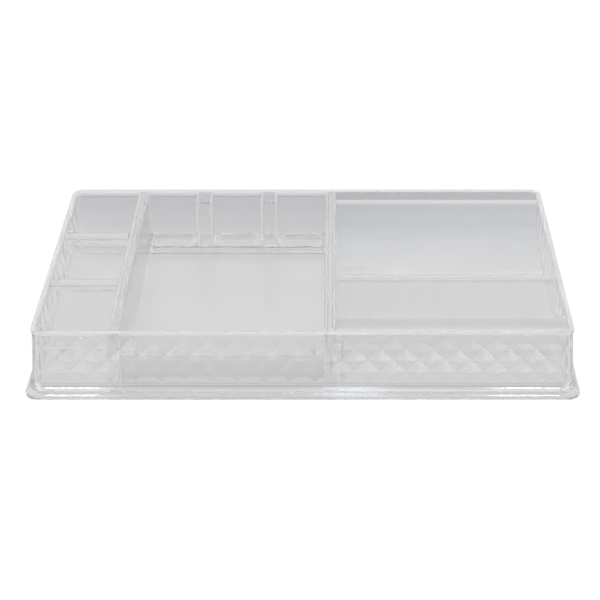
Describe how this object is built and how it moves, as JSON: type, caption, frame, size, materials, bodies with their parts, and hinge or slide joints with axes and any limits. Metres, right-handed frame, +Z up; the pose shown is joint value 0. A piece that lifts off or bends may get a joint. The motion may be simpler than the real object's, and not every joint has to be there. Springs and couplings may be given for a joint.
{
  "type": "acrylic cosmetic organizer tray",
  "caption": "Open tray of clear plastic with faceted diamond walls, a flared skirt, hollow dividers, niches and curved ramps that sort cosmetics.",
  "frame": {"origin": "on the table, under the middle of the tray", "axes": "+X along the length to the right of the picture, +Y to the back, +Z up out of the compartments"},
  "size_m": [0.3534, 0.2294, 0.045],
  "materials": {
    "clear_wall": "clear, polished, faceted",
    "clear_floor": "clear, polished",
    "clear_divider": "clear, polished",
    "clear_ramp": "clear, polished, slightly grey on the curves"
  },
  "bodies": {
    "root": {"outer_wall": "clear_wall", "floor_plate": "clear_floor", "left_long_divider": "clear_divider", "centre_divider": "clear_divider", "left_rear_cross_divider": "clear_divider", "left_front_cross_divider": "clear_divider", "right_cross_divider": "clear_divider", "rear_rib_1": "clear_divider", "rear_rib_2": "clear_divider", "left_rear_sill": "clear_divider", "middle_rear_sill": "clear_divider", "right_rear_ramp": "clear_ramp", "right_front_ramp": "clear_ramp", "main_front_ramp": "clear_ramp"}
  },
  "joints": []
}
